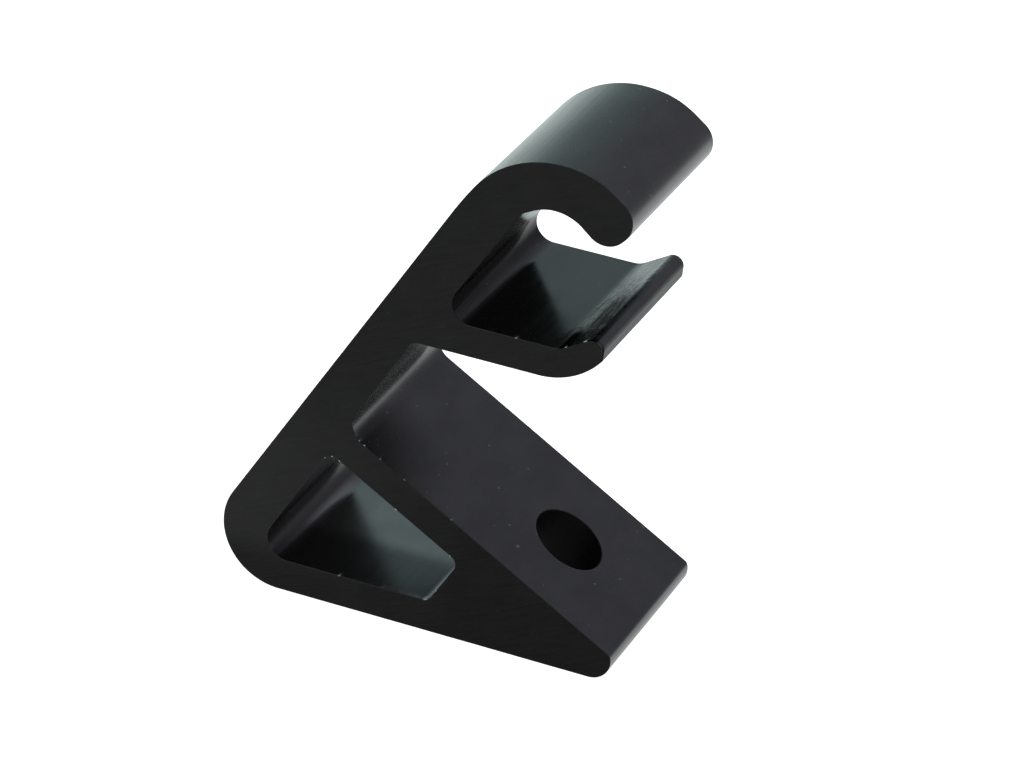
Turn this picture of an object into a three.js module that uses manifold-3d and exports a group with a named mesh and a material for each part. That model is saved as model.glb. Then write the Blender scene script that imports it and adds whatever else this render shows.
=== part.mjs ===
// Cleat horn: a one-piece hook bracket, sawn from a constant-section profile.
//
// The section (X to the right, Z up) is swept along Y:
//   - a hollow wedge foot: flat underside, sloping screw seat, solid rounded toe;
//   - a straight back plate leaning over the foot, its inner faces square to the seat;
//   - a level arm with a small upturned lip;
//   - a curled hook at the top of the plate, closing down over the arm, so that
//     hook, plate, arm and lip make a pocket with a mouth at its open side.
// One screw hole is drilled square to the sloping seat, right through the toe.
//
// Millimetres, +Z up. The origin is the middle of the underside: half way along
// the section's overall width, half way along the cut length, on the flat.

import * as THREE from "three";
import { mergeVertices } from "three/addons/utils/BufferGeometryUtils.js";
import Module from "manifold-3d";

// ---------------------------------------------------------------- dimensions
// Section positions are measured from the sharp heel, the unrounded corner of
// back plate and underside.
const CUT_LENGTH = 18.0; // sawn length of the profile, along Y

const BACK_ANGLE = 60; // degrees, inner faces of the back plate from the underside
const SEAT_ANGLE = 90 - BACK_ANGLE; // degrees, fall of the screw seat towards the toe

const SKIN = 3.0; // underside skin and seat skin
const ARM_THICK = 2.9;

// Depths of the back plate's inner faces from the back line, which rises from
// the sharp heel at BACK_ANGLE
const WEB_DEPTH = 4.35; // between the seat and the arm
const CORE_WALL = 4.55; // beside the core
const POCKET_DEPTH_LOW = 4.6; // at the foot of the pocket
const POCKET_DEPTH_HIGH = 4.95; // where the hook springs from the plate

const HEEL_RADIUS = 5.55;
const SEAT_ROOT_Z = 17.5; // corner where seat meets back plate
const SEAT_ROOT_RADIUS = 2.0;
const TOE_TOP = [40.89, 2.63, 0.65]; // x, z, radius where the seat turns down into the toe
const TOE_X = 41.3; // end of the underside
const TOE_RADIUS = 1.95;

const CORE_WIDTH = 14.6; // measured square to the back line
const CORE_RADII = { top: 0.88, upperRight: 0.87, lowerRight: 0.87, heel: 1.96 };

const ARM_TOP_Z = 30.3;
const ARM_UNDER_Z = ARM_TOP_Z - ARM_THICK;
const ARM_ROOT_RADIUS = 1.05; // under the arm, against the back plate
const POCKET_RADIUS = 1.75; // pocket floor against the back plate

// Lip corners: x, z, radius
const LIP = [
  [33.93, ARM_TOP_Z, 2.0], // where the arm's top turns up into the lip
  [38.0, 32.72, 0.88], // round nose of the lip
  [37.87, 30.2, 0.25], // small corner under the nose
  [35.62, ARM_UNDER_Z, 7.0], // long curve under the end of the arm
];

// Hook corners: x, z, radius; over the outside, round the tip and back inside
const HOOK = [
  [24.45, 41.7, 35.0], // top of the back plate's straight outside
  [28.85, 47.86, 9.2],
  [36.36, 46.39, 7.5],
  [40.56, 43.32, 2.11],
  [37.35, 39.97, 1.99],
  [35.39, 41.55, 2.56],
  [33.25, 43.52, 4.0],
];
const HOOK_ROOT_Z = 41.72; // inside corner of hook and back plate
const HOOK_ROOT_RADIUS = 1.22;

const HOLE_DIAMETER = 6.6; // clearance for a 6 mm screw
const HOLE_FROM_ROOT = 20.6; // down the seat from its sharp root corner
const DRILL_LENGTH = 40; // longer than the toe is thick
const DRILL_SINK = 5; // middle of the drill below the seat

const ARC_STEP = 4; // degrees, largest turn per chord on the rounded corners
const MIN_ARC_STEPS = 2;
const HOLE_SEGMENTS = 90;
const WELD_TOLERANCE = 1e-4;

// ------------------------------------------------------- section construction
// Section points are Vector2, with y standing for Z.
const rad = THREE.MathUtils.degToRad;
const BACK_DIR = new THREE.Vector2(Math.cos(rad(BACK_ANGLE)), Math.sin(rad(BACK_ANGLE)));
const BACK_IN = new THREE.Vector2(BACK_DIR.y, -BACK_DIR.x); // into the material
const SEAT_DIR = new THREE.Vector2(Math.cos(rad(SEAT_ANGLE)), -Math.sin(rad(SEAT_ANGLE)));
const SEAT_OUT = new THREE.Vector2(-SEAT_DIR.y, SEAT_DIR.x); // out of the seat
const LEVEL = new THREE.Vector2(1, 0);

// Point at height z on the line parallel to the back line, `depth` inside it.
function onBack(depth, z) {
  const foot = BACK_IN.clone().multiplyScalar(depth);
  return foot.addScaledVector(BACK_DIR, (z - foot.y) / BACK_DIR.y);
}

// Meeting point of two lines, each a point and a direction.
function meet(pointA, dirA, pointB, dirB) {
  const cross = dirA.x * dirB.y - dirA.y * dirB.x;
  const gapX = pointB.x - pointA.x;
  const gapY = pointB.y - pointA.y;
  return pointA.clone().addScaledVector(dirA, (gapX * dirB.y - gapY * dirB.x) / cross);
}

const toCorner = (point, radius) => [point.x, point.y, radius];

// Points of the arc that rounds the corner between its two neighbours.
function cornerArc(previous, corner, next, radius) {
  const incoming = corner.clone().sub(previous).normalize();
  const outgoing = next.clone().sub(corner).normalize();
  const turn = Math.atan2(
    incoming.x * outgoing.y - incoming.y * outgoing.x,
    incoming.dot(outgoing),
  );
  const setback = radius * Math.tan(Math.abs(turn) / 2);
  const start = corner.clone().addScaledVector(incoming, -setback);
  const leftward = new THREE.Vector2(-incoming.y, incoming.x);
  const centre = start.clone().addScaledVector(leftward, Math.sign(turn) * radius);
  const steps = Math.max(MIN_ARC_STEPS, Math.ceil(Math.abs(turn) / rad(ARC_STEP)));
  return Array.from({ length: steps + 1 }, (_, i) =>
    start.clone().rotateAround(centre, (turn * i) / steps),
  );
}

// Closed outline with each corner [x, z, radius] rounded by a tangent arc.
function rounded(corners) {
  const count = corners.length;
  const points = corners.map(([x, z]) => new THREE.Vector2(x, z));
  return corners.flatMap(([, , radius], i) =>
    cornerArc(points[(i + count - 1) % count], points[i], points[(i + 1) % count], radius),
  );
}

const seatRoot = onBack(WEB_DEPTH, SEAT_ROOT_Z);

// Outside of the section, clockwise from the heel, up the back, over the hook,
// through the pocket, round the lip, down the seat and back along the underside.
const outline = rounded([
  [0, 0, HEEL_RADIUS],
  ...HOOK,
  toCorner(onBack(POCKET_DEPTH_HIGH, HOOK_ROOT_Z), HOOK_ROOT_RADIUS),
  toCorner(onBack(POCKET_DEPTH_LOW, ARM_TOP_Z), POCKET_RADIUS),
  ...LIP,
  toCorner(onBack(WEB_DEPTH, ARM_UNDER_Z), ARM_ROOT_RADIUS),
  toCorner(seatRoot, SEAT_ROOT_RADIUS),
  TOE_TOP,
  [TOE_X, 0, TOE_RADIUS],
]);

// Triangular core with its toe-side point cut off square to the seat; the other
// sides follow the back line, the seat and the underside.
function coreOutline() {
  const left = BACK_IN.clone().multiplyScalar(CORE_WALL);
  const right = BACK_IN.clone().multiplyScalar(CORE_WALL + CORE_WIDTH);
  const roof = seatRoot.clone().addScaledVector(SEAT_OUT, -SKIN);
  const floor = new THREE.Vector2(0, SKIN);
  return rounded([
    toCorner(meet(left, BACK_DIR, roof, SEAT_DIR), CORE_RADII.top),
    toCorner(meet(right, BACK_DIR, roof, SEAT_DIR), CORE_RADII.upperRight),
    toCorner(meet(right, BACK_DIR, floor, LEVEL), CORE_RADII.lowerRight),
    toCorner(meet(left, BACK_DIR, floor, LEVEL), CORE_RADII.heel),
  ]);
}

// The origin sits half way along the section's overall width.
const outlineXs = outline.map((point) => point.x);
const ORIGIN_X = (Math.min(...outlineXs) + Math.max(...outlineXs)) / 2;

// -------------------------------------------------------------- bar and drill
function makeBar() {
  const section = new THREE.Shape([...outline].reverse()); // anticlockwise
  section.holes.push(new THREE.Path(coreOutline()));
  const bar = new THREE.ExtrudeGeometry(section, {
    depth: CUT_LENGTH,
    bevelEnabled: false,
    steps: 1,
  });
  bar.rotateX(Math.PI / 2); // section X,Y -> X,Z; sweep -> -Y
  bar.translate(-ORIGIN_X, CUT_LENGTH / 2, 0);
  return bar;
}

function makeDrill() {
  const radius = HOLE_DIAMETER / 2;
  const middle = seatRoot
    .clone()
    .addScaledVector(SEAT_DIR, HOLE_FROM_ROOT)
    .addScaledVector(SEAT_OUT, -DRILL_SINK);
  const drill = new THREE.CylinderGeometry(radius, radius, DRILL_LENGTH, HOLE_SEGMENTS);
  drill.rotateX(Math.PI / 2); // axis along Z
  drill.rotateY(rad(SEAT_ANGLE)); // lean the axis to the seat's normal
  drill.translate(middle.x - ORIGIN_X, 0, middle.y);
  return drill;
}

// --------------------------------------------------------------- solid cutting
const manifold = await Module();
manifold.setup();

function toSolid(geometry) {
  // Only positions may remain, or the weld would keep seams open.
  geometry.deleteAttribute("normal");
  geometry.deleteAttribute("uv");
  const welded = mergeVertices(geometry, WELD_TOLERANCE);
  return new manifold.Manifold(
    new manifold.Mesh({
      numProp: 3,
      vertProperties: new Float32Array(welded.attributes.position.array),
      triVerts: new Uint32Array(welded.index.array),
    }),
  );
}

// Flat-shaded geometry of a solid.
function toGeometry(solid) {
  const mesh = solid.getMesh();
  const indexed = new THREE.BufferGeometry();
  indexed.setAttribute("position", new THREE.BufferAttribute(mesh.vertProperties, 3));
  indexed.setIndex(new THREE.BufferAttribute(mesh.triVerts, 1));
  const geometry = indexed.toNonIndexed();
  geometry.computeVertexNormals();
  return geometry;
}

// ------------------------------------------------------------------ assembly
const blackPlastic = new THREE.MeshStandardMaterial({
  name: "black_plastic",
  color: new THREE.Color().setRGB(0.018, 0.018, 0.019),
  roughness: 0.38,
  metalness: 0.0,
});

const body = toSolid(makeBar()).subtract(toSolid(makeDrill()));
const cleatBody = new THREE.Mesh(toGeometry(body), blackPlastic);
cleatBody.name = "cleat_horn_body";

const cleatHorn = new THREE.Group();
cleatHorn.name = "cleat_horn";
cleatHorn.add(cleatBody);

export default cleatHorn;
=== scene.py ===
"""Finished body of a black extruded cleat horn, on a pale floor in a soft white room.

The section lies in XZ and is extruded along Y. The sharp heel is at the -X end and the toe at
+X; the seat slopes down towards +X. The sawn end at -Y is the front and faces the camera.
The body is worked out in millimetres and scaled to metres when its mesh is made.
"""

import math
import random

import bpy
import numpy as np
from mathutils import Matrix, Vector, geometry, noise


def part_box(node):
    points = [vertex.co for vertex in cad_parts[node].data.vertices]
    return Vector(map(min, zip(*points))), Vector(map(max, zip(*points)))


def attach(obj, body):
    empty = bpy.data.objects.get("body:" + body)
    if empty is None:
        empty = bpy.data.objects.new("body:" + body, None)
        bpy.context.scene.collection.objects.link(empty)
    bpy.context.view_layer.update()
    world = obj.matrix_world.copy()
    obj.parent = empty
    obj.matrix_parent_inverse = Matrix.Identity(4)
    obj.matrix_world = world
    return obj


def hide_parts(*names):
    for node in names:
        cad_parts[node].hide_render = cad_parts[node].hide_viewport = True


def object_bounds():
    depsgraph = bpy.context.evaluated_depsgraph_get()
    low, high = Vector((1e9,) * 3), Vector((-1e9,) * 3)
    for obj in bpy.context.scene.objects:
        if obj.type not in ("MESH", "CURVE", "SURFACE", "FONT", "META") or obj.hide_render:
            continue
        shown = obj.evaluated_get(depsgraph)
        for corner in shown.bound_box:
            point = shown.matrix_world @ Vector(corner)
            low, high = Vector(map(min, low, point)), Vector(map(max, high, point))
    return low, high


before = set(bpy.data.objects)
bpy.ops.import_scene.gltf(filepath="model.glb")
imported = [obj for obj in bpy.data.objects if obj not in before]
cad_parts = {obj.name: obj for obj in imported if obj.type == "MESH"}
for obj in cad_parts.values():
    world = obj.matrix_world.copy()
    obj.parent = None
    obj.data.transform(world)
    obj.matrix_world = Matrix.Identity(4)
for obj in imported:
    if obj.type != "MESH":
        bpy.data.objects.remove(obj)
CAD_LO, CAD_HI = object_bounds()
NODE = "cleat_horn_body"
NODE_LO, NODE_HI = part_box(NODE)
MM = 0.001
random.seed(11)

# ============================================================================
# 1. Section: X from the sharp heel, Z up, in millimetres
# ============================================================================
LEAN_ANGLE = math.radians(60)  # of the leaning -X wall, up from level
SEAT_ANGLE = math.radians(30)  # of the seat, down from level
SEAT_THICK = FLOOR_THICK = 3.0
ARM_THICK = 2.9
WEB_THICK = 4.35
CORE_WALL = 4.55
POCKET_WALL_LOW, POCKET_WALL_HIGH = 4.6, 4.95
HEEL_RADIUS = 5.55
SEAT_ROOT_Z, SEAT_ROOT_RADIUS = 17.5, 2.0
TOE_X, TOE_RADIUS = 41.3, 1.95
TOE_TOP = (40.89, 2.63, 0.65)  # x, z, radius
CORE_WIDTH = 14.6
CORE_RADII = (0.88, 0.87, 0.87, 1.96)  # clockwise from the upper left corner
ARM_TOP_Z, ARM_ROOT_RADIUS, POCKET_RADIUS = 30.3, 1.05, 1.75
# Corners of the upturned lip on the arm and of the hook above it: x, z, radius
LIP = [(33.93, 30.3, 2.0), (38.0, 32.72, 0.88), (37.87, 30.2, 0.25), (35.62, 27.4, 7.0)]
HOOK = [
    (24.45, 41.7, 35.0), (28.85, 47.86, 9.2), (36.36, 46.39, 7.5), (40.56, 43.32, 2.11),
    (37.35, 39.97, 1.99), (35.39, 41.55, 2.56), (33.25, 43.52, 4.0),
]
HOOK_ROOT_Z, HOOK_ROOT_RADIUS = 41.72, 1.22
HOLE_RADIUS = 3.3
HOLE_FROM_ROOT = 20.6  # down the seat from its root

# Burrs, raised slivers on the front edge: x, z, height, half width
BURRS = [
    (17.02, 16.33, .13, .11), (18.57, 15.45, .10, .11), (20.88, 14.04, .12, .15),
    (22.51, 13.41, .12, .11), (25.50, 11.59, .12, .11), (37.19, 5.02, .11, .12),
    (30.10, 30.31, .10, .12), (36.20, 31.69, .15, .17), (16.13, 17.06, .10, .10),
    (16.53, 16.68, .10, .10), (34.6, 30.6, .12, .16), (35.2, 31.2, .10, .13),
    (15.74, 18.2, .13, .12),
]
CORE_BURRS = [
    (20.29, 10.97, .16, .13), (25.56, 7.93, .14, .11), (14.11, 14.43, .12, .11),
    (8.73, 5.82, .13, .11), (15.41, 3.07, .13, .13), (18.38, 11.95, .13, .20),
    (17.00, 12.79, .09, .14), (14.80, 14.23, .10, .12), (13.48, 14.13, .11, .10),
    (23.57, 3.14, .12, .22), (24.42, 4.25, .08, .25), (19.14, 12.33, .10, .12),
    (19.55, 11.86, .10, .12),
]
# Places where the front edge is worn rounder: x, z, extra width, half length
WORN = [(37.9, 31.1, .20, 0.9), (37.2, 32.1, .14, 0.5), (36.9, 29.0, .05, 1.2)]

# Point spacing round the section
SPACING = 0.27
BURR_SPACINGS = [(0.45, 0.06), (0.8, 0.12)]  # distance to the nearest burr, spacing within it
ARC_STEP = math.radians(2.0)
SAME_POINT = 1e-6

LEAN_DIR = np.array([math.cos(LEAN_ANGLE), math.sin(LEAN_ANGLE)])
LEAN_IN = np.array([LEAN_DIR[1], -LEAN_DIR[0]])
SEAT_DIR = np.array([math.cos(SEAT_ANGLE), -math.sin(SEAT_ANGLE)])
SEAT_OUT = np.array([-SEAT_DIR[1], SEAT_DIR[0]])


def behind_lean(depth, z):
    """The point at height z that lies `depth` inside the leaning wall."""
    point = LEAN_IN * depth
    return point + LEAN_DIR * (z - point[1]) / LEAN_DIR[1]


def cross2(a, b):
    return a[0] * b[1] - a[1] * b[0]


def meet(point, direction, other, other_dir):
    """Where two lines in the section cross."""
    travel = cross2(other - point, other_dir) / cross2(direction, other_dir)
    return point + direction * travel


seat_root = behind_lean(WEB_THICK, SEAT_ROOT_Z)
OUTLINE = [
    (0, 0, HEEL_RADIUS),
    *HOOK,
    (*behind_lean(POCKET_WALL_HIGH, HOOK_ROOT_Z), HOOK_ROOT_RADIUS),
    (*behind_lean(POCKET_WALL_LOW, ARM_TOP_Z), POCKET_RADIUS),
    *LIP,
    (*behind_lean(WEB_THICK, ARM_TOP_Z - ARM_THICK), ARM_ROOT_RADIUS),
    (*seat_root, SEAT_ROOT_RADIUS),
    TOE_TOP,
    (TOE_X, 0, TOE_RADIUS),
]
# The straight runs after these corners are the seat and the underside
SEAT_ROOT_CORNER, TOE_CORNER = len(OUTLINE) - 3, len(OUTLINE) - 1


def core_corners():
    left = (LEAN_IN * CORE_WALL, LEAN_DIR)
    right = (LEAN_IN * (CORE_WALL + CORE_WIDTH), LEAN_DIR)
    roof = (seat_root - SEAT_OUT * SEAT_THICK, SEAT_DIR)
    floor = (np.array([0, FLOOR_THICK]), np.array([1.0, 0.0]))
    sides = [(left, roof), (right, roof), (right, floor), (left, floor)]
    return [(*meet(*wall, *level), radius)
            for (wall, level), radius in zip(sides, CORE_RADII)]


def corner_arc(before, corner, after):
    """Start, centre, turning angle, radius and entry direction of a rounded corner."""
    vertex = np.array(corner[:2], float)
    radius = corner[2]
    entry = vertex - np.array(before[:2], float)
    leave = np.array(after[:2], float) - vertex
    entry, leave = entry / np.linalg.norm(entry), leave / np.linalg.norm(leave)
    turn = math.atan2(cross2(entry, leave), float(entry @ leave))
    start = vertex - entry * radius * math.tan(abs(turn) / 2)
    centre = start + np.array([-entry[1], entry[0]]) * math.copysign(radius, turn)
    return start, centre, turn, radius, entry


def rotated(vector, angle):
    c, s = math.cos(angle), math.sin(angle)
    return np.array([c * vector[0] - s * vector[1], s * vector[0] + c * vector[1]])


def sample(corners, side, burrs):
    """Points round a clockwise loop of rounded corners, closer together near burrs.

    `side` is 1 where the metal is inside the loop and -1 where it is outside. Gives
    positions, normals out of the metal, distances round the loop, and for each point the
    corner its straight run follows (None on an arc).
    """
    count = len(corners)
    arcs = [corner_arc(corners[i - 1], corners[i], corners[(i + 1) % count])
            for i in range(count)]
    points, normals, runs = [], [], []

    def spacing(point):
        gap = min(math.hypot(point[0] - burr[0], point[1] - burr[1]) for burr in burrs)
        return next((step for reach, step in BURR_SPACINGS if gap < reach), SPACING)

    def add(point, direction, run):
        if points and np.hypot(*(points[-1] - point)) < SAME_POINT:
            return
        points.append(np.array(point, float))
        normals.append(np.array([-direction[1], direction[0]]) * side)
        runs.append(run)

    for i, (start, centre, turn, radius, entry) in enumerate(arcs):
        t = 0.0
        while True:
            point = centre + rotated(start - centre, turn * t)
            add(point, rotated(entry, turn * t), None)
            if t >= 1:
                break
            t = min(1.0, t + min(ARC_STEP / abs(turn),
                                 spacing(point) / (radius * abs(turn)), 0.25))
            if t > 0.985:
                t = 1.0
        point, following = points[-1], arcs[(i + 1) % count][0]
        length = np.linalg.norm(following - point)
        direction = (following - point) / length
        along = spacing(point)
        while along < length - 0.04:
            add(point + direction * along, direction, i)
            along += spacing(point + direction * along)
    if np.hypot(*(points[0] - points[-1])) < SAME_POINT:
        points.pop()
        normals.pop()
        runs.pop()
    points, normals = np.array(points), np.array(normals)
    steps = np.linalg.norm(np.roll(points, -1, 0) - points, axis=1)
    return points, normals, np.concatenate([[0], np.cumsum(steps)[:-1]]), runs


outer, outer_normals, outer_lengths, outer_runs = sample(OUTLINE, 1, BURRS)
core, core_normals, core_lengths, _ = sample(core_corners(), -1, CORE_BURRS)

# Move the section to its place in the frame
SHIFT = (NODE_LO.x + NODE_HI.x) / 2 / MM - (outer[:, 0].min() + outer[:, 0].max()) / 2
BASE_Z = NODE_LO.z / MM
Y_FRONT, Y_BACK = NODE_LO.y / MM, NODE_HI.y / MM
for loop in (outer, core):
    loop[:, 0] += SHIFT
    loop[:, 1] += BASE_Z
BURRS, CORE_BURRS, WORN = (
    [(x + SHIFT, *rest) for x, *rest in table] for table in (BURRS, CORE_BURRS, WORN))


def distance_to_loop(point, loop):
    side = np.roll(loop, -1, 0) - loop
    t = np.clip(((point - loop) * side).sum(1) / (side ** 2).sum(1), 0, 1)
    return np.sqrt((((loop + side * t[:, None]) - point) ** 2).sum(1).min())


# Every corner of the CAD end face has to lie on the fine section
cad_points = np.array([v.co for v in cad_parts[NODE].data.vertices]) / MM
for corner in cad_points[np.abs(cad_points[:, 1] - Y_FRONT) < 1e-3][:, [0, 2]]:
    if min(distance_to_loop(corner, outer), distance_to_loop(corner, core)) > 0.03:
        raise RuntimeError("the fine section and the CAD section differ")

# ============================================================================
# 2. Body: one closed mesh with broken edges, burrs and a bored hole
# ============================================================================
SKIN_SLOT, SAWN_SLOT, BORE_SLOT, CORE_SLOT = range(4)
EDGE_ROWS = 4
MIDDLE_ROWS_Y = np.linspace(Y_FRONT + 0.75, Y_BACK - 0.75, 23)

# Broken sawn edges: mean width plus (amplitude, seed step, wavelength) of each waver
EDGE_WIDTH = 0.060
EDGE_WAVERS = [(0.022, 0, 2.3), (0.020, 3, 0.55)]
CHIP_WIDTH, CHIP_THRESHOLD, CHIP_SEED_STEP, CHIP_WAVELENGTH = 0.05, 0.32, 5, 1.1
EDGE_SCALE, EDGE_MIN, EDGE_MAX = 0.65, 0.025, 0.075
RAGGED_HEIGHT, RAGGED_SEED_STEP, RAGGED_WAVELENGTH = 0.010, 9, 0.5
BURR_SCALE = 0.6
BURR_OUT, BURR_ALONG = 0.5, 1.6  # lean off the skin and past the end, per unit of height
FULL_WEAR_HEIGHT, WEAR_POWER = 0.06, 1.3
BACK_SEED_STEP = 40

HOLE_SEGMENTS = 144
BORE_ROWS = 10
HOLE_EDGE_WAVER, HOLE_EDGE_FREQUENCY, HOLE_EDGE_WEAR = 0.03, 2.2, 0.10

verts, wear = [], []
faces, face_slots, face_normals = [], [], []


def add_vert(x, y, z, worn=0.0):
    verts.append((x, y, z))
    wear.append(worn)
    return len(verts) - 1


def add_face(ids, normals, slot):
    faces.append(tuple(ids))
    face_normals.append(tuple(normals))
    face_slots.append(slot)


def smooth_noise(distance, seed, wavelength):
    return noise.noise(Vector((distance / wavelength, seed * 7.31, seed * 1.7)))


def curve_point(start, control, end, t):
    return (1 - t) ** 2 * start + 2 * t * (1 - t) * control + t * t * end


def edge_profile(loop, lengths, burrs, seed, worn):
    """Width of the broken edge and height of the burr at each point of a loop."""
    widths, heights = [], []
    for point, along in zip(loop, lengths):
        width = EDGE_WIDTH
        for amplitude, step, wavelength in EDGE_WAVERS:
            width += amplitude * smooth_noise(along, seed + step, wavelength)
        chip = smooth_noise(along, seed + CHIP_SEED_STEP, CHIP_WAVELENGTH) - CHIP_THRESHOLD
        width += CHIP_WIDTH * max(0.0, chip)
        width = min(EDGE_MAX, max(EDGE_MIN, width * EDGE_SCALE))
        for x, z, extra, half in worn:
            width += extra * math.exp(-(math.hypot(point[0] - x, point[1] - z) / half) ** 2)
        ragged = smooth_noise(along, seed + RAGGED_SEED_STEP, RAGGED_WAVELENGTH)
        height = RAGGED_HEIGHT * max(0.0, ragged)
        for x, z, burr_height, half in burrs:
            gap = math.hypot(point[0] - x, point[1] - z)
            if gap < 3 * half + 0.3:
                height += BURR_SCALE * burr_height * math.exp(-(gap / half) ** 2)
        widths.append(width)
        heights.append(height)
    return np.array(widths), np.array(heights)


def in_3d(section, y):
    return np.column_stack([section[:, 0], np.full(len(section), y), section[:, 1]])


def sawn_edge(loop, outward, lengths, y, sign, burrs, seed, worn=()):
    """Rows (points, normals, wear) from the sawn end at y round the edge to the skin."""
    widths, heights = edge_profile(loop, lengths, burrs, seed, worn)
    width, height = widths[:, None], heights[:, None]
    past_end = np.array([0.0, sign, 0.0])
    sharp = in_3d(loop, y)
    start = sharp - outward * width
    tip = sharp + outward * (BURR_OUT * height) + past_end * (BURR_ALONG * height)
    end = sharp - past_end * width
    rows = []
    for k in range(EDGE_ROWS + 1):
        t = k / EDGE_ROWS
        tangent = 2 * (1 - t) * (tip - start) + 2 * t * (end - tip)
        along = (tangent * outward).sum(1)[:, None]
        rise = (tangent @ past_end)[:, None]
        normal = past_end * along - outward * rise
        normal /= np.linalg.norm(normal, axis=1)[:, None]
        row_wear = (np.clip(heights / FULL_WEAR_HEIGHT, 0, 1) ** WEAR_POWER
                    * (0.45 + 0.55 * math.sin(math.pi * min(1, t * 1.2))))
        rows.append((curve_point(start, tip, end, t), normal, row_wear))
    return rows


def extrude(loop, normals, lengths, seed, burrs, slot, worn=(), runs=()):
    """Skin of one loop with both sawn edges, left open along the given straight runs."""
    count = len(loop)
    outward = in_3d(normals, 0.0)
    front = sawn_edge(loop, outward, lengths, Y_FRONT, -1, burrs, seed, worn)
    back = sawn_edge(loop, outward, lengths, Y_BACK, 1, [], seed + BACK_SEED_STEP)
    middle = [(in_3d(loop, y), outward, np.zeros(count)) for y in MIDDLE_ROWS_Y]
    rows = front + middle + back[::-1]

    open_points = {i for run in runs for i in run}
    inside_runs = {i for run in runs for i in run[1:-1]}
    ids = [[None] * count for _ in rows]
    for r, (points, _, row_wear) in enumerate(rows):
        is_middle = EDGE_ROWS < r < len(rows) - EDGE_ROWS - 1
        for i in range(count):
            if not (is_middle and i in inside_runs):
                ids[r][i] = add_vert(*points[i], row_wear[i])
    for r in range(len(rows) - 1):
        is_skin = EDGE_ROWS <= r < len(rows) - 1 - EDGE_ROWS
        for i in range(count):
            j = (i + 1) % count
            if is_skin and i in open_points and j in open_points:
                continue
            corners = [(r, i), (r, j), (r + 1, j), (r + 1, i)]
            if slot == CORE_SLOT:
                corners.reverse()
            add_face([ids[a][b] for a, b in corners], [rows[a][1][b] for a, b in corners],
                     slot)
    return ids


def straight_run(corner):
    """Outline points of the straight run after a corner, with its two end points."""
    flat = [i for i, run in enumerate(outer_runs) if run == corner]
    count = len(outer_runs)
    return [(flat[0] - 1) % count, *flat, (flat[-1] + 1) % count]


seat_run = straight_run(SEAT_ROOT_CORNER)
under_run = straight_run(TOE_CORNER)
outer_ids = extrude(outer, outer_normals, outer_lengths, seed=1, burrs=BURRS,
                    slot=SKIN_SLOT, worn=WORN, runs=(seat_run, under_run))
core_ids = extrude(core, core_normals, core_lengths, seed=21, burrs=CORE_BURRS,
                   slot=CORE_SLOT)

# ---- Hole square to the seat, through to the underside
HOLE_AXIS = np.array([SEAT_OUT[0], 0.0, SEAT_OUT[1]])
DOWN_SEAT = np.array([SEAT_DIR[0], 0.0, SEAT_DIR[1]])
X_AXIS, Y_AXIS, Z_AXIS = np.eye(3)
mouth_x, mouth_z = seat_root + SEAT_DIR * HOLE_FROM_ROOT + np.array([SHIFT, BASE_Z])
MOUTH = np.array([mouth_x, (Y_FRONT + Y_BACK) / 2, mouth_z])


def hole_edge(corner, outward, inward, seed, base_width, angles):
    """Rows of a broken edge from the flat face into the bore."""
    width = np.array([base_width + HOLE_EDGE_WAVER * noise.noise(Vector((
        HOLE_EDGE_FREQUENCY * math.cos(angle), HOLE_EDGE_FREQUENCY * math.sin(angle), seed)))
        for angle in angles])[:, None]
    return [curve_point(corner + outward * width, corner, corner + inward * width,
                        k / EDGE_ROWS) for k in range(EDGE_ROWS + 1)]


def bore_hole():
    """The hole's wall and both broken edges; gives its rows of vertices from the seat down."""
    angles = np.linspace(0, 2 * math.pi, HOLE_SEGMENTS, endpoint=False)
    radial = np.cos(angles)[:, None] * DOWN_SEAT + np.sin(angles)[:, None] * Y_AXIS
    seat_corner = MOUTH + HOLE_RADIUS * radial
    seat_edge = hole_edge(seat_corner, radial, -HOLE_AXIS, 3.0, 0.13, angles)

    reach = (seat_corner[:, 2] - BASE_Z) / HOLE_AXIS[2]
    under_corner = seat_corner - HOLE_AXIS * reach[:, None]
    tangent = np.roll(under_corner, -1, 0) - np.roll(under_corner, 1, 0)
    tangent /= np.linalg.norm(tangent, axis=1)[:, None]
    outward = np.cross(tangent, Z_AXIS)
    from_centre = under_corner - under_corner.mean(0)
    outward *= np.sign((outward * from_centre).sum(1))[:, None]
    under_edge = hole_edge(under_corner, outward, HOLE_AXIS, 8.0, 0.12, angles)

    bore = [seat_edge[-1] * (1 - k / BORE_ROWS) + under_edge[-1] * (k / BORE_ROWS)
            for k in range(1, BORE_ROWS)]
    edge_wear = [HOLE_EDGE_WEAR * math.sin(math.pi * k / EDGE_ROWS)
                 for k in range(EDGE_ROWS + 1)]
    rings = seat_edge + bore + under_edge[::-1]
    ring_wear = edge_wear + [0.0] * len(bore) + edge_wear[::-1]
    ids = [[add_vert(*point, worn) for point in ring] for ring, worn in zip(rings, ring_wear)]

    def turning(first, last):
        """Unit normals turning from one direction to another over an edge's rows."""
        mixes = [first * (1 - k / EDGE_ROWS) + last * (k / EDGE_ROWS)
                 for k in range(EDGE_ROWS + 1)]
        return [mix / np.linalg.norm(mix, axis=1)[:, None] for mix in mixes]

    normals = turning(HOLE_AXIS, -radial) + [-radial] * len(bore) + turning(-radial, -Z_AXIS)
    for r in range(len(ids) - 1):
        slot = BORE_SLOT if 1 <= r < len(ids) - 2 else SKIN_SLOT
        for i in range(HOLE_SEGMENTS):
            j = (i + 1) % HOLE_SEGMENTS
            corners = [(r, j), (r + 1, j), (r + 1, i), (r, i)]
            add_face([ids[a][b] for a, b in corners], [normals[a][b] for a, b in corners],
                     slot)
    return ids


hole_ids = bore_hole()


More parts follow.
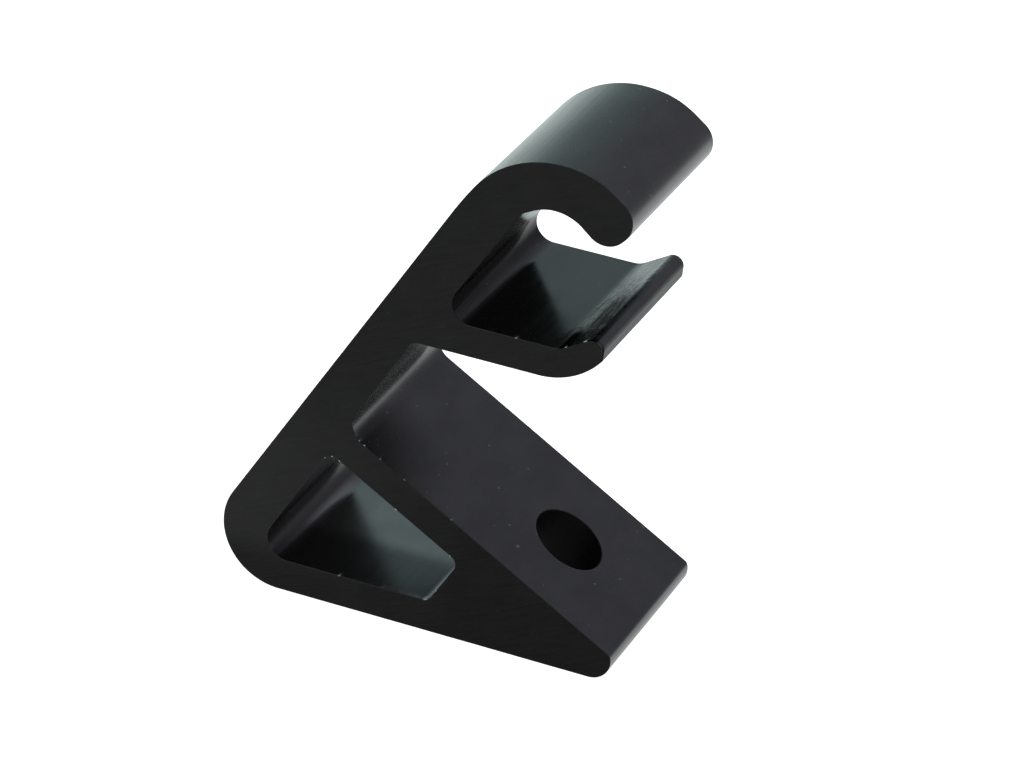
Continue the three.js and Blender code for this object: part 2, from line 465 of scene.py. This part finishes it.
# ---- Flat faces with a hole in each: seat, underside and the two sawn ends
def in_polygon(point, polygon):
    a, b = polygon, np.roll(polygon, -1, 0)
    crosses = (a[:, 1] > point[1]) != (b[:, 1] > point[1])
    with np.errstate(divide="ignore", invalid="ignore"):
        x = (b[:, 0] - a[:, 0]) * (point[1] - a[:, 1]) / (b[:, 1] - a[:, 1]) + a[:, 0]
    return bool((crosses & (point[0] < x)).sum() % 2)


def fill(rim_ids, inner_ids, origin, across, upward, normal, slot, grid):
    """Triangles over a flat polygon with one hole, with a loose grid of points inside."""
    ids = list(rim_ids) + list(inner_ids)
    rim_count, inner_count = len(rim_ids), len(inner_ids)
    points = [np.array([(np.array(verts[i]) - origin) @ across,
                        (np.array(verts[i]) - origin) @ upward]) for i in ids]
    border = np.array(points)
    rim, inner = border[:rim_count], border[rim_count:]
    low, high = rim.min(0), rim.max(0)
    columns = np.arange(low[0] + grid / 2, high[0], grid)
    for r, y in enumerate(np.arange(low[1] + grid / 2, high[1], grid * 0.866)):
        for x in columns + (grid / 2 if r % 2 else 0):
            point = np.array([x, y])
            if (in_polygon(point, rim) and not in_polygon(point, inner)
                    and ((border - point) ** 2).sum(1).min() > (0.55 * grid) ** 2):
                ids.append(add_vert(*(origin + across * x + upward * y)))
                points.append(point)
    edges = [(i, (i + 1) % rim_count) for i in range(rim_count)]
    edges += [(rim_count + i, rim_count + (i + 1) % inner_count) for i in range(inner_count)]
    flat, _, triangles, sources, *_ = geometry.delaunay_2d_cdt(
        [Vector(point) for point in points], edges, [], 1, 1e-5)
    for triangle in triangles:
        centre = sum(np.array(flat[k]) for k in triangle) / 3
        if in_polygon(centre, inner) or not in_polygon(centre, rim):
            continue
        corners = [ids[sources[k][0]] for k in triangle]
        a, b, c = (np.array(verts[k]) for k in corners)
        if np.dot(np.cross(b - a, c - a), normal) < 0:
            corners.reverse()
        add_face(corners, (normal,) * 3, slot)


def opening_rim(run):
    """Rim of an open run: along the front, back along its last point, and round again."""
    last_row = len(outer_ids) - 1 - EDGE_ROWS
    rows = range(EDGE_ROWS, last_row + 1)
    return ([outer_ids[EDGE_ROWS][i] for i in run]
            + [outer_ids[r][run[-1]] for r in rows][1:]
            + [outer_ids[last_row][i] for i in reversed(run)][1:]
            + [outer_ids[r][run[0]] for r in rows][::-1][1:-1])


fill(opening_rim(seat_run), hole_ids[0], origin=MOUTH, across=DOWN_SEAT, upward=Y_AXIS,
     normal=HOLE_AXIS, slot=SKIN_SLOT, grid=1.5)
fill(opening_rim(under_run), hole_ids[-1], origin=BASE_Z * Z_AXIS, across=X_AXIS,
     upward=Y_AXIS, normal=-Z_AXIS, slot=SKIN_SLOT, grid=1.5)
for row, y, sign in ((0, Y_FRONT, -1.0), (-1, Y_BACK, 1.0)):
    fill(outer_ids[row], core_ids[row], origin=y * Y_AXIS, across=X_AXIS, upward=Z_AXIS,
         normal=sign * Y_AXIS, slot=SAWN_SLOT, grid=1.2)


def require_closed():
    """Stop unless every edge joins two faces and the faces point outwards."""
    edges = [edge for face in faces for edge in zip(face, face[1:] + face[:1])]
    used = set(edges)
    closed = len(used) == len(edges) and all((b, a) in used for a, b in edges)
    points = np.array(verts)
    volume = sum(np.dot(points[face[0]], np.cross(points[face[k]], points[face[k + 1]]))
                 for face in faces for k in range(1, len(face) - 1))
    if not closed or volume < 0:
        raise RuntimeError("the finished body isn't closed and facing out")


def build_body():
    mesh = bpy.data.meshes.new("cleat_horn_finish")
    mesh.from_pydata([(x * MM, y * MM, z * MM) for x, y, z in verts], [], faces)
    if mesh.validate(verbose=False):
        raise RuntimeError("the finished body's mesh had to be repaired")
    mesh.polygons.foreach_set("material_index", face_slots)
    mesh.polygons.foreach_set("use_smooth", [True] * len(mesh.polygons))
    mesh.normals_split_custom_set(
        [tuple(float(c) for c in normal) for normals in face_normals for normal in normals])
    mesh.attributes.new("wear", "FLOAT", "POINT").data.foreach_set("value", wear)
    mesh.update()
    body = bpy.data.objects.new("cleat_horn_finish", mesh)
    bpy.context.scene.collection.objects.link(body)
    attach(body, "root")
    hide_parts(NODE)
    return body


require_closed()
body = build_body()


# ============================================================================
# 3. Materials
# ============================================================================
class Signal:
    """A node's output. Each arithmetic step on it makes one Math node."""

    def __init__(self, graph, socket):
        self.graph, self.socket = graph, socket

    def __add__(self, other):
        return self.graph.calc("ADD", self, other)

    def __radd__(self, other):
        return self.graph.calc("ADD", other, self)

    def __sub__(self, other):
        return self.graph.calc("SUBTRACT", self, other)

    def __rsub__(self, other):
        return self.graph.calc("SUBTRACT", other, self)

    def __mul__(self, other):
        return self.graph.calc("MULTIPLY", self, other)

    def __rmul__(self, other):
        return self.graph.calc("MULTIPLY", other, self)

    def fade(self, span, out=(0.0, 1.0), smooth=True):
        """Go from out[0] to out[1] as the signal goes from span[0] to span[1]."""
        return self.graph.value("ShaderNodeMapRange",
                                dict(enumerate((self, *span, *out))),
                                interpolation_type="SMOOTHSTEP" if smooth else "LINEAR")

    def band(self, edges):
        """1 inside a band and 0 outside, with one fading span for each edge."""
        return self.fade(edges[0]) * self.fade(edges[1])


class Graph:
    """Builds the node tree of a material or world."""

    def __init__(self, owner):
        owner.use_nodes = True
        self.tree = owner.node_tree
        self.tree.nodes.clear()

    def node(self, kind, inputs, **settings):
        node = self.tree.nodes.new(kind)
        for name, setting in settings.items():
            setattr(node, name, setting)
        for key, value in inputs.items():
            if isinstance(value, Signal):
                self.tree.links.new(value.socket, node.inputs[key])
            else:
                node.inputs[key].default_value = value
        return node

    def value(self, kind, inputs={}, output=0, **settings):
        return Signal(self, self.node(kind, inputs, **settings).outputs[output])

    def calc(self, operation, a, b=0.0):
        return self.value("ShaderNodeMath", {0: a, 1: b, 2: 0.0}, operation=operation)

    def vector(self, operation, a, b):
        output = "Value" if operation == "DOT_PRODUCT" else "Vector"
        return self.value("ShaderNodeVectorMath", {0: a, 1: b}, output, operation=operation)

    def split(self, vector):
        return [Signal(self, socket)
                for socket in self.node("ShaderNodeSeparateXYZ", {0: vector}).outputs]

    def noise(self, place, scale, detail, rough, axes=None):
        """Noise; `axes` scales the coordinates first, and below 1 draws the pattern out."""
        if axes:
            place = self.vector("MULTIPLY", place, axes)
        return self.value("ShaderNodeTexNoise", {
            "Vector": place, "Scale": scale, "Detail": detail, "Roughness": rough})

    def mix(self, factor, a, b):
        # sockets 0, 6 and 7 are the factor and the two colours; output 2 is the colour
        return self.value("ShaderNodeMix", {0: factor, 6: a, 7: b}, 2, data_type="RGBA")

    def bump(self, height, depth_mm, over=None):
        inputs = {"Strength": 1.0, "Distance": depth_mm * MM, "Height": height}
        if over is not None:
            inputs["Normal"] = over
        return self.value("ShaderNodeBump", inputs)


WHITE = (1, 1, 1, 1)
DEEP_BLACK, SOFT_BLACK = (0.0009, 0.0009, 0.0010, 1), (0.0018, 0.0018, 0.0020, 1)
BURR_COLOUR = (0.62, 0.64, 0.64, 1)
SKIN_SPECK_COLOUR, SAWN_SPECK_COLOUR = (0.11, 0.115, 0.115, 1), (0.04, 0.04, 0.04, 1)


def drawn_lines(graph, place):
    """Fine lines along Y over a slight waviness: both patterns and the bumped normal."""
    lines = graph.noise(place, scale=2.2, detail=3.0, rough=0.6, axes=(1, 0.010, 1))
    wave = graph.noise(place, scale=0.12, detail=1.0, rough=0.4, axes=(1, 0.30, 1))
    normal = graph.bump(lines, depth_mm=0.0016, over=graph.bump(wave, depth_mm=0.008))
    return lines, wave, normal


def black_base(graph, place):
    tone = graph.noise(place, scale=0.22, detail=3.0, rough=0.55, axes=(1, 0.3, 1))
    return graph.mix(tone.fade(span=(0.3, 0.7)), DEEP_BLACK, SOFT_BLACK)


def burr_colour(graph, base):
    worn = graph.value("ShaderNodeAttribute", output="Fac", attribute_name="wear")
    return graph.mix(worn.fade(span=(0.18, 0.7), out=(0.0, 0.95)), base, BURR_COLOUR)


def lip_slope_dulling(graph, place, x, y, z):
    """Duller reflections on the lip's upper slope, more towards the front and the nose.

    Gives the slope's mask, the pits and the amount of dulling.
    """
    slope = (x.band(edges=((33.2, 33.9), (37.5, 36.9)))
             * z.band(edges=((30.28, 30.45), (34.0, 33.6))))
    streak = graph.noise(place, scale=2.2, detail=3.0, rough=0.6, axes=(1, 0.16, 1))
    pits = graph.noise(place, scale=2.6, detail=2.0, rough=0.6, axes=(1, 0.7, 1))
    by_nose = x.fade(span=(34.5, 35.3))
    dull = (y.fade(span=(6.0, -2.0))
            * by_nose.fade(span=(0.0, 1.0), out=(0.30, 0.63), smooth=False))
    front_dull = (y.fade(span=(-4.2, -6.8))
                  * by_nose.fade(span=(0.0, 1.0), out=(0.86, 0.70), smooth=False))
    dull = graph.calc("MAXIMUM", dull, front_dull)
    marks = graph.calc("MAXIMUM", streak.fade(span=(0.48, 0.62)),
                       pits.fade(span=(0.54, 0.66)) * y.fade(span=(7.5, 2.0)))
    marks = marks * y.fade(span=(8.0, 3.0), out=(0.08, 0.30))
    return slope, pits, slope * (1.0 - (1.0 - dull) * (1.0 - marks))


def inner_wall_shade(graph, x, z):
    """Mask of the leaning wall's inner side, where reflections are dimmed as painted shade:
    full in the pocket, weaker above the seat.
    """
    depth = x * float(LEAN_IN[0]) - z * float(-LEAN_IN[1])
    pocket = (depth.band(edges=((7.2, 5.4), (3.9, 4.25)))
              * z.band(edges=((28.5, 29.5), (42.2, 41.0))))
    web = (depth.band(edges=((4.62, 4.45), (3.9, 4.25)))
           * z.band(edges=((17.0, 18.0), (27.0, 26.6))))
    return graph.calc("MAXIMUM", pocket, web * 0.75)


def seat_corner_shade(x, y, z):
    """Mask of the seat's front corner by its root, where reflections are dimmed as painted
    shade.
    """
    def from_root(direction):
        return ((x - float(seat_root[0])) * float(direction[0])
                + (z - float(seat_root[1])) * float(direction[1]))

    return (from_root(SEAT_DIR).band(edges=((-1.5, -0.5), (11.0, 3.0)))
            * y.fade(span=(0.5, -6.5))
            * from_root(SEAT_OUT).band(edges=((-0.3, -0.1), (0.5, 0.15))))


def extruded_skin(graph, place):
    """Outer skin: satin to glossy black with drawn lines, specks and light scuffs."""
    x, y, z = graph.split(place)
    x = x + -SHIFT
    lines, wave, normal = drawn_lines(graph, place)
    fine = graph.noise(place, scale=9.0, detail=2.0, rough=0.6, axes=(1, 0.02, 1))
    grain = graph.noise(place, scale=12.0, detail=2.0, rough=0.6)
    slope, pits, slope_dulling = lip_slope_dulling(graph, place, x, y, z)
    normal = graph.bump(fine, depth_mm=0.0003, over=normal)
    normal = graph.bump(slope * pits, depth_mm=0.035, over=normal)

    rough = (lines.fade(span=(0.3, 0.75), out=(0.19, 0.25))
             + wave.fade(span=(0.3, 0.7), out=(0.0, 0.03))
             + grain.fade(span=(0.35, 0.7), out=(0.0, 0.02)))
    arm_top = z.band(edges=((30.25, 30.29), (30.36, 30.31))) * x.fade(span=(19.5, 21.5))

    wall = inner_wall_shade(graph, x, z)
    mottle = graph.noise(place, scale=0.28, detail=3.0, rough=0.6, axes=(1, 0.6, 1))
    # painted shade: reflections dimmed on the leaning wall's inner side and at the seat's
    # front corner by its root; the mottle varies at random
    specular = (0.5 * (1.0 - wall * 0.70) * (1.0 - seat_corner_shade(x, y, z) * 0.62)
                * mottle.fade(span=(0.3, 0.7), out=(0.88, 1.10)))

    speck = graph.noise(place, scale=2.6, detail=0.0, rough=0.5).fade(span=(0.842, 0.862))
    base = graph.mix(speck * 0.8, black_base(graph, place), SKIN_SPECK_COLOUR)

    # a lower index gives weaker reflections, at flat viewing angles too; the lowering on the
    # side of the lip's nose and on the leaning wall's inner side is painted shade
    gloss = 1.0 - slope_dulling
    nose_side_shade = (x.fade(span=(37.5, 37.9))
                 * z.band(edges=((31.9, 31.2), (28.5, 29.5))))
    index = 1.0 + 0.5 * (gloss * gloss) - nose_side_shade * 0.33 - wall * 0.12
    return {
        "Base Color": burr_colour(graph, base),
        "Roughness": rough - arm_top * 0.08,
        "IOR": graph.calc("MAXIMUM", 1.01, index),
        "Specular IOR Level": specular,
        "Normal": normal,
    }


def core_skin(graph, place):
    """Inside of the core: a rougher black; its floor gets a painted sheen, stronger
    reflections away from the front.
    """
    _, y, z = graph.split(place)
    lines, _, normal = drawn_lines(graph, place)
    cloud = graph.noise(place, scale=0.30, detail=2.0, rough=0.55, axes=(1, 0.6, 1))
    on_floor = z.fade(span=(3.6, 3.05))
    # painted sheen: the floor's reflections are made stronger a little behind the front and
    # weaker again towards the back
    painted_sheen = (on_floor * y.fade(span=(-3.8, -1.0))
             * y.fade(span=(3.5, 8.0), out=(1.0, 0.55))
             * cloud.fade(span=(0.3, 0.7), out=(0.75, 1.0)))
    return {
        "Base Color": burr_colour(graph, black_base(graph, place)),
        "Roughness": lines.fade(span=(0.3, 0.75), out=(0.27, 0.33)) + on_floor * -0.08,
        "IOR": (painted_sheen.fade(span=(0.0, 1.0), out=(1.40, 2.25), smooth=False)
                + on_floor * painted_sheen.fade(span=(0.0, 0.3), out=(0.10, 0.0))),
        "Normal": normal,
    }


def sawn_end(graph, place):
    """Sawn end: matt, with close slanting saw lines, broad bands, fine speckle and painted
    light and shade.
    """
    x, _, z = graph.split(place)
    x = x + -SHIFT
    slanted = graph.value("ShaderNodeMapping", {
        "Vector": place, "Rotation": (0, math.radians(24), 0)})
    lines = graph.noise(slanted, scale=5.0, detail=4.0, rough=0.65, axes=(0.05, 1, 1))
    bands = graph.noise(slanted, scale=0.9, detail=2.0, rough=0.5, axes=(0.02, 1, 1))
    grain = graph.noise(place, scale=9.0, detail=3.0, rough=0.65)
    normal = graph.bump(bands, depth_mm=0.012)
    normal = graph.bump(lines, depth_mm=0.012, over=normal)
    normal = graph.bump(grain, depth_mm=0.010, over=normal)

    speck = graph.noise(place, scale=5.5, detail=1.0, rough=0.5).fade(span=(0.74, 0.80))
    tone = graph.noise(place, scale=0.35, detail=3.0, rough=0.6).fade(span=(0.3, 0.7))
    # painted light and shade: paler by the heel as if lit from the left, darker by the toe and
    # along the bottom of the heel
    heel = x.fade(span=(24.0, 4.0)) * z.band(edges=((25.0, 13.0), (1.5, 5.5)))
    toe = x.fade(span=(15.0, 29.0)) * z.fade(span=(17.0, 9.0))
    bottom = z.fade(span=(6.0, 2.5)) * x.fade(span=(24.0, 16.0))
    tone_and_painted_light = (tone.fade(span=(0.0, 1.0), out=(0.0090, 0.0106), smooth=False)
            + heel * 0.0085 - toe * 0.0052 - bottom * 0.0022)
    tint = (1.0, 1.0, 1.015)
    colour = graph.value("ShaderNodeCombineXYZ",
                         {i: tone_and_painted_light * share for i, share in enumerate(tint)})
    return {
        "Base Color": graph.mix(speck * 0.5, colour, SAWN_SPECK_COLOUR),
        "Roughness": lines.fade(span=(0.3, 0.7), out=(0.62, 0.78)),
        "IOR": 1.5,
        "Specular IOR Level": 0.12,
        "Normal": normal,
    }


def drilled_wall(graph, place):
    """Wall of the hole: dull black with a fine spiral, six turns to the millimetre."""
    along = graph.vector("DOT_PRODUCT", place, tuple(float(c) for c in HOLE_AXIS))
    centred = graph.vector("SUBTRACT", place, tuple(float(c) for c in MOUTH))
    angle = graph.calc("ARCTAN2", graph.vector("DOT_PRODUCT", centred, tuple(DOWN_SEAT)),
                       graph.vector("DOT_PRODUCT", centred, tuple(Y_AXIS)))
    turns = along * 6.0 + angle * (1 / (2 * math.pi))
    spiral = graph.calc("SINE", turns * (2 * math.pi))
    grain = graph.noise(place, scale=6.0, detail=3.0, rough=0.6)
    return {
        "Base Color": (0.0016, 0.0016, 0.0018, 1),
        "Roughness": 0.5,
        "Specular IOR Level": 0.12,
        "Normal": graph.bump(grain, depth_mm=0.010, over=graph.bump(spiral, depth_mm=0.006)),
    }


def body_material(name, surface):
    """Material whose `surface` function gives the shader's inputs from a place in mm."""
    material = bpy.data.materials.new(name)
    graph = Graph(material)
    place = graph.vector("MULTIPLY", graph.value("ShaderNodeTexCoord", output="Object"),
                         (1 / MM,) * 3)
    shader = graph.value("ShaderNodeBsdfPrincipled", surface(graph, place))
    graph.node("ShaderNodeOutputMaterial", {"Surface": shader})
    return material


# in the order of the slot numbers
for name, surface in (("extruded_black_skin", extruded_skin), ("sawn_black_end", sawn_end),
                      ("drilled_black_wall", drilled_wall), ("core_black_skin", core_skin)):
    body.data.materials.append(body_material(name, surface))

# ============================================================================
# 4. Stage, light, camera
# ============================================================================
FLOOR_HALF = 6.0
FLOOR_GAP = 0.00002  # below the body
LENS, SENSOR_WIDTH = 165.79, 36.0
# from the middle of the CAD bounds in X and Y, and from their bottom in Z
CAMERA_OFFSET = (0.13304, -0.33143, 0.21195)
CAMERA_RIGHT = (0.91579, 0.39584, 0.0681)
CAMERA_FORWARD = (-0.31957, 0.82079, -0.47348)


def radians(*degrees):
    return tuple(math.radians(angle) for angle in degrees)


def floor_material():
    """Pale glowing floor: even to the camera, uneven where the body reflects it."""
    material = bpy.data.materials.new("pale_floor")
    graph = Graph(material)
    diffuse = graph.value("ShaderNodeBsdfDiffuse", {"Color": (0.82, 0.82, 0.82, 1)})
    # the incoming vector points back along the ray, so its heading takes the opposite
    ray_x, ray_y, ray_z = graph.split(
        graph.value("ShaderNodeNewGeometry", output="Incoming"))
    heading = graph.calc("ARCTAN2", ray_x * -1.0, ray_y * -1.0)  # from +Y towards +X
    from_camera = graph.value("ShaderNodeLightPath", output="Is Camera Ray")

    left_glow, toward_front_glow, camera_glow = 0.65, 0.60, 0.95
    right_glow = ray_z.fade(span=(0.07, 0.26), out=(0.12, 0.85))
    to_right = heading.fade(span=radians(-20, 30))
    glow = left_glow + to_right * (right_glow - left_glow)
    glow = glow + ray_y.fade(span=(-0.3, 0.2)) * (toward_front_glow - glow)
    cool = (heading.fade(span=radians(5, -20)) * (1.0 - from_camera)
            * ray_y.fade(span=(0.1, -0.3)))
    emission = graph.value("ShaderNodeEmission", {
        "Strength": glow + from_camera * (camera_glow - glow),
        "Color": graph.mix(cool, WHITE, (0.80, 1.0, 0.95, 1)),
    })
    both = graph.value("ShaderNodeAddShader", {0: diffuse, 1: emission})
    graph.node("ShaderNodeOutputMaterial", {"Surface": both})
    return material


def build_floor():
    mesh = bpy.data.meshes.new("floor")
    z = NODE_LO.z - FLOOR_GAP
    corners = [(-1, -1), (1, -1), (1, 1), (-1, 1)]
    mesh.from_pydata([(x * FLOOR_HALF, y * FLOOR_HALF, z) for x, y in corners], [],
                     [(0, 1, 2, 3)])
    floor = bpy.data.objects.new("floor", mesh)
    bpy.context.scene.collection.objects.link(floor)
    mesh.materials.append(floor_material())


def build_world():
    """Soft room: bright low down on the left of +Y, dimmer above and to the right."""
    world = bpy.data.worlds.new("studio")
    bpy.context.scene.world = world
    graph = Graph(world)
    x, y, up = graph.split(graph.value("ShaderNodeTexCoord", output="Generated"))
    heading = graph.calc("ARCTAN2", x, y)  # from +Y towards +X
    from_camera = graph.value("ShaderNodeLightPath", output="Is Camera Ray")

    right_light, front_light = 0.48, 0.62
    left_light = up.fade(span=(0.02, 0.34), out=(1.15, 0.60))
    left = heading.fade(span=radians(-34, 8), out=(1.0, 0.0))
    side = left * (left_light - right_light) + right_light
    ahead = y.fade(span=(-0.2, 0.3))
    strength = ahead * (side - front_light) + front_light

    high = graph.mix(heading.fade(span=radians(-30, 14)),
                     (0.76, 1.0, 1.02, 1), (0.98, 0.99, 1.13, 1))
    low = graph.mix(heading.fade(span=radians(5, -20)), WHITE, (0.86, 1.0, 0.96, 1))
    tint = graph.mix(up.fade(span=(0.0, 0.25)), low, high)
    tint = graph.mix(y.fade(span=(-0.2, 0.3)), WHITE, tint)
    background = graph.value("ShaderNodeBackground", {
        "Color": graph.mix(from_camera, tint, WHITE),
        "Strength": strength * (1.0 - from_camera) + from_camera * 1.0,
    })
    graph.node("ShaderNodeOutputWorld", {"Surface": background})


def build_camera():
    data = bpy.data.cameras.new("camera")
    data.sensor_width = SENSOR_WIDTH
    data.lens = LENS
    data.clip_start, data.clip_end = 0.01, 50.0
    camera = bpy.data.objects.new("camera", data)
    bpy.context.scene.collection.objects.link(camera)
    right = Vector(CAMERA_RIGHT).normalized()
    forward = Vector(CAMERA_FORWARD).normalized()
    right = (right - forward * right.dot(forward)).normalized()
    rotation = Matrix((right, right.cross(forward), -forward)).transposed()
    dx, dy, dz = CAMERA_OFFSET
    eye = Vector(((CAD_LO.x + CAD_HI.x) / 2 + dx, (CAD_LO.y + CAD_HI.y) / 2 + dy,
                  CAD_LO.z + dz))
    camera.matrix_world = Matrix.Translation(eye) @ rotation.to_4x4()
    bpy.context.scene.camera = camera


view = bpy.context.scene.view_settings
view.view_transform = "Standard"
view.look = "None"
view.exposure = 0.0
view.gamma = 1.0
build_floor()
build_world()
build_camera()
